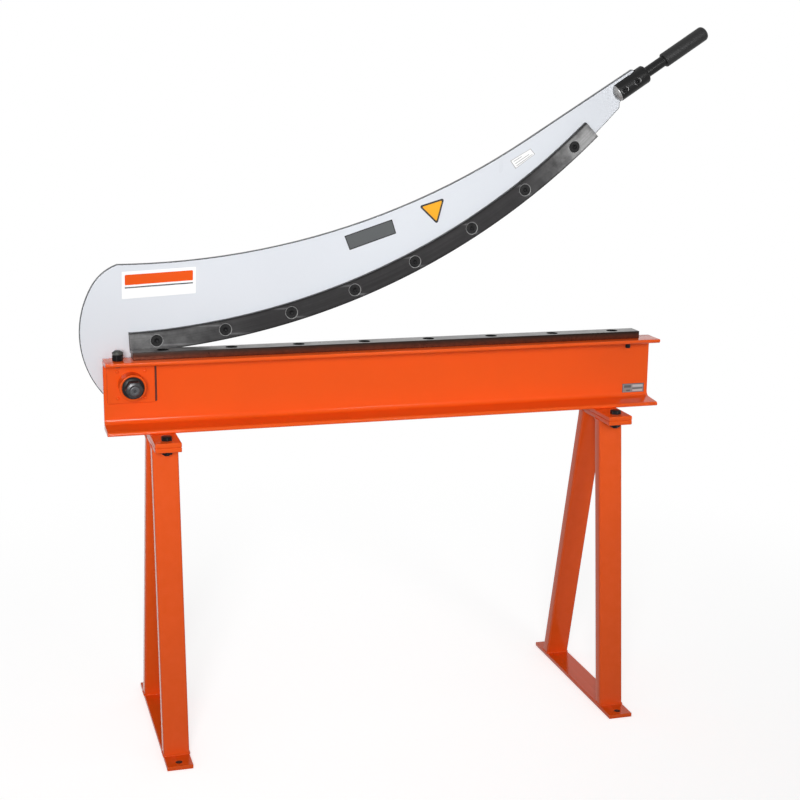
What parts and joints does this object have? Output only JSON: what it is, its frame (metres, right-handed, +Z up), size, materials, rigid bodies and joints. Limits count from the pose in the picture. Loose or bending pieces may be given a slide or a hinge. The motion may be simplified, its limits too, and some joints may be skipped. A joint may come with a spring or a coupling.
{
  "type": "guillotine shear",
  "caption": "Hand-lever guillotine shear: channel bed on two splayed stands, straight lower blade, and a hinged arm plate with a curved upper blade and round handle.",
  "frame": {"origin": "on the floor, under the middle of the whole shear's box", "axes": "+X along the bed from the pivot to the handle, +Y to the back, +Z up"},
  "size_m": [1.2825, 0.421, 1.396],
  "materials": {
    "orange_paint": "gloss orange paint",
    "white_paint": "gloss bluish white paint",
    "black_paint": "gloss black paint",
    "black_plastic": "satin black plastic",
    "blade_steel": "dark ground tool steel",
    "bright_steel": "turned steel",
    "black_oxide": "black oxide",
    "bronze": "plain bearing bronze"
  },
  "bodies": {
    "base": {"bed_bolt": "black_oxide", "bed_bolt_nut": "black_oxide", "bed_channel": "orange_paint", "bed_pad_left": "orange_paint", "bed_pad_right": "orange_paint", "blade_end_bolt": "black_oxide", "foot_bar_left": "orange_paint", "foot_bar_right": "orange_paint", "front_leg_left": "orange_paint", "front_leg_right": "orange_paint", "lower_blade": "blade_steel", "lower_blade_screw_1": "black_oxide", "lower_blade_screw_2": "black_oxide", "lower_blade_screw_3": "black_oxide", "lower_blade_screw_4": "black_oxide", "lower_blade_screw_5": "black_oxide", "lower_blade_screw_6": "black_oxide", "lower_blade_screw_7": "black_oxide", "lower_blade_screw_8": "black_oxide", "pivot_boss": "orange_paint", "pivot_bush": "bronze", "pivot_disc_spring": "black_oxide", "pivot_plate": "orange_paint", "pivot_plate_screw_1": "orange_paint", "pivot_plate_screw_2": "orange_paint", "pivot_plate_screw_3": "orange_paint", "pivot_plate_screw_4": "orange_paint", "pivot_spacer": "orange_paint", "pivot_washer": "black_oxide", "rear_leg_left": "orange_paint", "rear_leg_right": "orange_paint", "stand_bolt_left_front": "black_oxide", "stand_bolt_left_rear": "black_oxide", "stand_bolt_right_front": "black_oxide", "stand_bolt_right_rear": "black_oxide", "stand_nut_left_front": "black_oxide", "stand_nut_left_rear": "black_oxide", "stand_nut_right_front": "black_oxide", "stand_nut_right_rear": "black_oxide", "stand_plate_left": "orange_paint", "stand_plate_right": "orange_paint"},
    "arm": {"arm_plate": "white_paint", "handle_bar": "black_paint", "handle_grip": "black_plastic", "handle_screw_1": "black_oxide", "handle_screw_2": "black_oxide", "handle_socket": "black_paint", "pivot_nut": "black_oxide", "pivot_shaft": "bright_steel", "upper_blade": "blade_steel", "upper_blade_screw_1": "black_oxide", "upper_blade_screw_2": "black_oxide", "upper_blade_screw_3": "black_oxide", "upper_blade_screw_4": "black_oxide", "upper_blade_screw_5": "black_oxide", "upper_blade_screw_6": "black_oxide", "upper_blade_screw_7": "black_oxide", "upper_blade_screw_8": "black_oxide"}
  },
  "joints": [
    {"name": "arm_pivot", "type": "hinge", "parent": "base", "child": "arm", "pos_m": [-0.55115, -0.0135, 0.717], "axis": [0, -1, 0], "range_deg": [-23, 37]}
  ]
}
